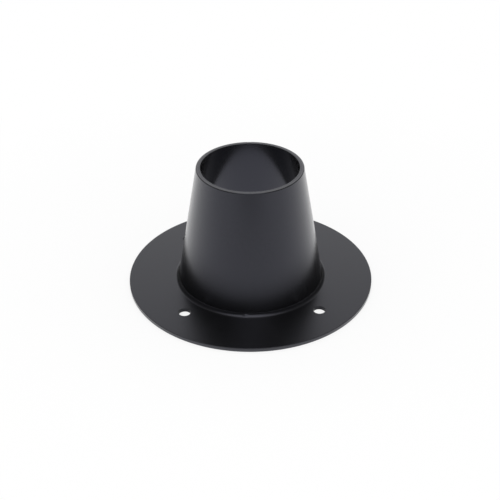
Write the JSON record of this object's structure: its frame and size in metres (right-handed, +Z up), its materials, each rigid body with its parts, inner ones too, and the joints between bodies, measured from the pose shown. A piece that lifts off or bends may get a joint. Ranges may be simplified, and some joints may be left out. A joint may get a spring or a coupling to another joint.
{
  "type": "flag pole stand",
  "caption": "Round flanged stand with a tapered open sleeve that holds a flag pole upright, made of sheet steel, welded and coated satin black.",
  "frame": {"origin": "centre of the flange's underside, where the stand rests on the floor", "axes": "+Z up along the sleeve's axis; two screw holes on each side of -Y, the front; the sleeve's seam at +Y, the back"},
  "size_m": [0.2, 0.2, 0.1032],
  "materials": {
    "flange_coat": "satin black powder coat",
    "sleeve_coat": "satin black powder coat",
    "seam_coat": "satin black powder coat over a dressed weld",
    "weld_coat": "satin black powder coat over a fillet weld"
  },
  "bodies": {
    "root": {"base_plate": "flange_coat", "tapered_sleeve": "sleeve_coat", "seam_weld": "seam_coat", "base_weld": "weld_coat"}
  },
  "joints": []
}
